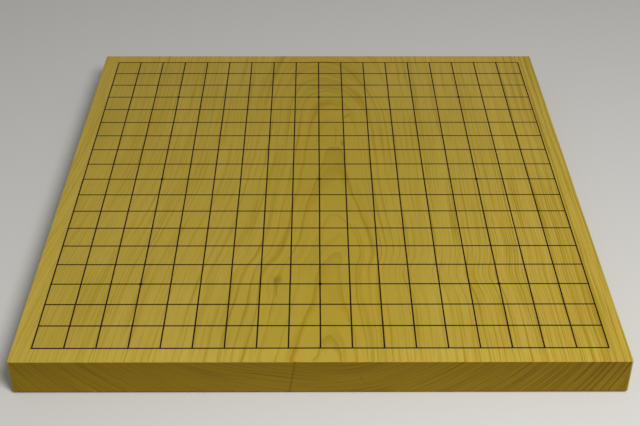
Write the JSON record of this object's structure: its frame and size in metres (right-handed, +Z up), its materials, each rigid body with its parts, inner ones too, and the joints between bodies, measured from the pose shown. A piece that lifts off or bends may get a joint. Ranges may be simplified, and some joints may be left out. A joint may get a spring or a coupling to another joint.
{
  "type": "go board",
  "caption": "Flat one-piece wooden board for the game of go, with a raised lacquer grid and star points on its top face.",
  "frame": {"origin": "centre of the underside, the flat face that the board rests on", "axes": "+Z up, out of the playing face; +Y along the board's long side and the wood's grain, from the near player to the far one; +X to the near player's right, across the grain"},
  "size_m": [0.4242, 0.4544, 0.0293],
  "materials": {
    "board_wood": "planed and waxed yellow softwood, satin",
    "grid_lacquer": "black-brown natural lacquer, semi-gloss"
  },
  "bodies": {
    "root": {"board_slab": "board_wood", "file_line_a": "grid_lacquer", "file_line_b": "grid_lacquer", "file_line_c": "grid_lacquer", "file_line_d": "grid_lacquer", "file_line_e": "grid_lacquer", "file_line_f": "grid_lacquer", "file_line_g": "grid_lacquer", "file_line_h": "grid_lacquer", "file_line_j": "grid_lacquer", "file_line_k": "grid_lacquer", "file_line_l": "grid_lacquer", "file_line_m": "grid_lacquer", "file_line_n": "grid_lacquer", "file_line_o": "grid_lacquer", "file_line_p": "grid_lacquer", "file_line_q": "grid_lacquer", "file_line_r": "grid_lacquer", "file_line_s": "grid_lacquer", "file_line_t": "grid_lacquer", "rank_line_01": "grid_lacquer", "rank_line_02": "grid_lacquer", "rank_line_03": "grid_lacquer", "rank_line_04": "grid_lacquer", "rank_line_05": "grid_lacquer", "rank_line_06": "grid_lacquer", "rank_line_07": "grid_lacquer", "rank_line_08": "grid_lacquer", "rank_line_09": "grid_lacquer", "rank_line_10": "grid_lacquer", "rank_line_11": "grid_lacquer", "rank_line_12": "grid_lacquer", "rank_line_13": "grid_lacquer", "rank_line_14": "grid_lacquer", "rank_line_15": "grid_lacquer", "rank_line_16": "grid_lacquer", "rank_line_17": "grid_lacquer", "rank_line_18": "grid_lacquer", "rank_line_19": "grid_lacquer", "star_point_d4": "grid_lacquer", "star_point_d10": "grid_lacquer", "star_point_d16": "grid_lacquer", "star_point_k4": "grid_lacquer", "star_point_k10": "grid_lacquer", "star_point_k16": "grid_lacquer", "star_point_q4": "grid_lacquer", "star_point_q10": "grid_lacquer", "star_point_q16": "grid_lacquer"}
  },
  "joints": []
}
